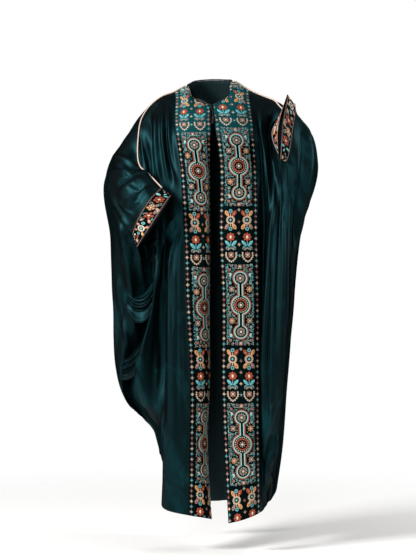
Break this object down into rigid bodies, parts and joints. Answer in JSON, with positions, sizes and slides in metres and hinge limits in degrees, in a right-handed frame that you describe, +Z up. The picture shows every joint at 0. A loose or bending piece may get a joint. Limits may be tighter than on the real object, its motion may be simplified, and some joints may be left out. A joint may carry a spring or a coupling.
{
  "type": "bisht",
  "caption": "long open velvet robe with wide cut-on sleeves, embroidered front bands and cuffs, corded shoulder seams and a tassel tie, held in the hollow shape it has when worn",
  "frame": {"origin": "the middle of the neck opening at the height of the shoulders, where the garment is held up", "axes": "+Z up along the length of the garment, front towards -Y, +X towards the left sleeve as the garment is worn"},
  "size_m": [0.6956, 0.4098, 1.4345],
  "materials": {
    "velvet": "deep teal velvet with a soft sheen",
    "embroidered_velvet": "black-green velvet covered with many-coloured thread",
    "piping": "cream satin over cord",
    "black_trim": "black silk cord"
  },
  "bodies": {
    "root": {"back": "velvet", "right_front": "velvet", "left_front": "velvet", "right_band": "embroidered_velvet", "left_band": "embroidered_velvet", "right_cuff": "embroidered_velvet", "left_cuff": "embroidered_velvet", "right_piping": "piping", "left_piping": "piping", "neck_binding": "black_trim", "tie_cord": "black_trim", "tassel": "black_trim"}
  },
  "joints": []
}
